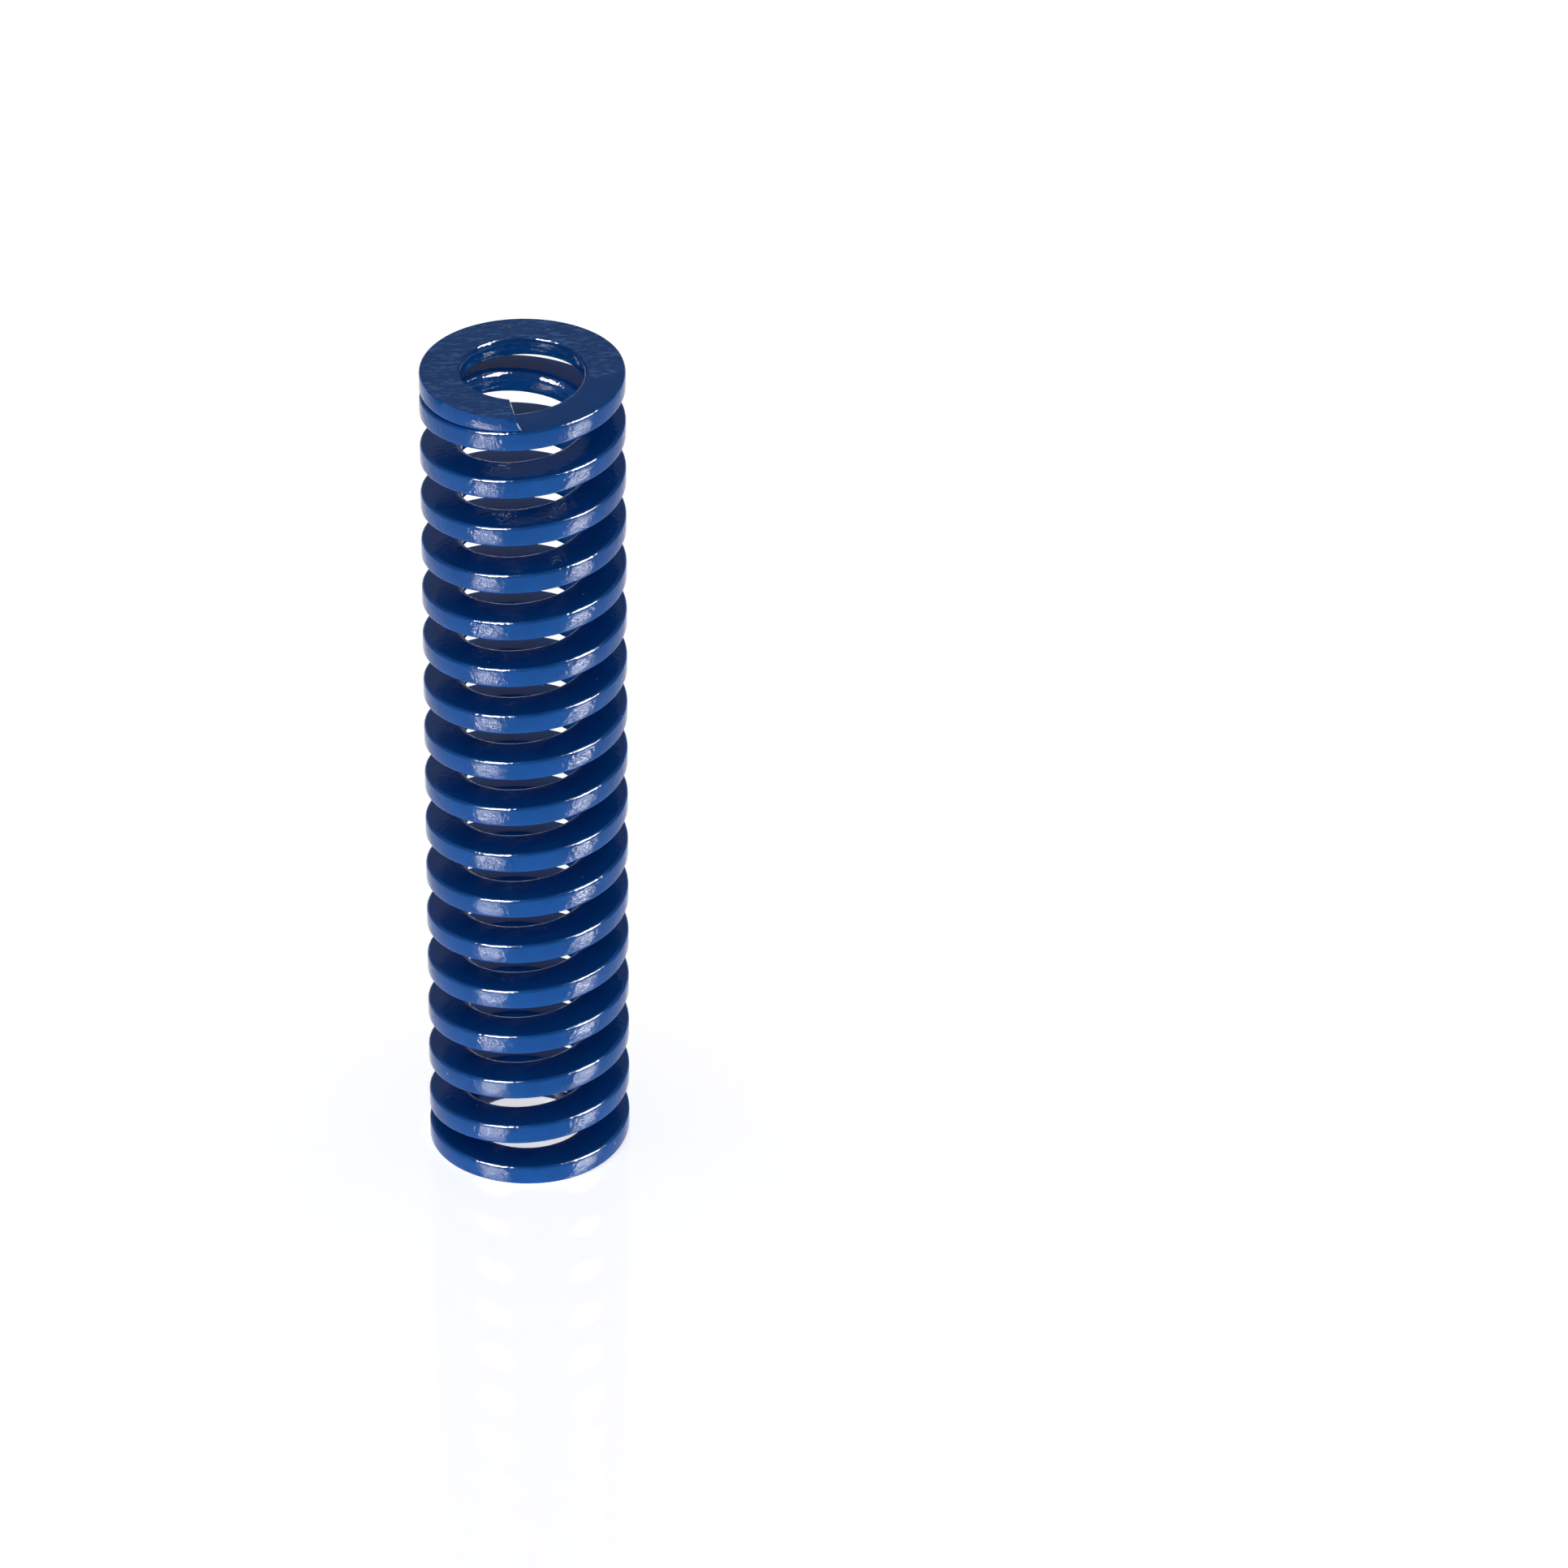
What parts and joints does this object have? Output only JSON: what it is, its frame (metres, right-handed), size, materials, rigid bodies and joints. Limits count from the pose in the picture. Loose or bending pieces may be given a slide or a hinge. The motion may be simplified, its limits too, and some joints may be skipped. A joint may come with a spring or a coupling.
{
  "type": "die spring",
  "caption": "Heavy coil spring of flat wire with closed, ground-flat ends, for pushing plates apart in a press tool.",
  "frame": {"origin": "centre of the lower ground end, on the coil's axis", "axes": "+Z along the coil's axis towards the upper ground end; the upper tip lies towards -Y"},
  "size_m": [0.008, 0.008, 0.035],
  "materials": {
    "blue_paint": "glossy blue paint over spring steel"
  },
  "bodies": {
    "root": {"die_spring": "blue_paint"}
  },
  "joints": []
}
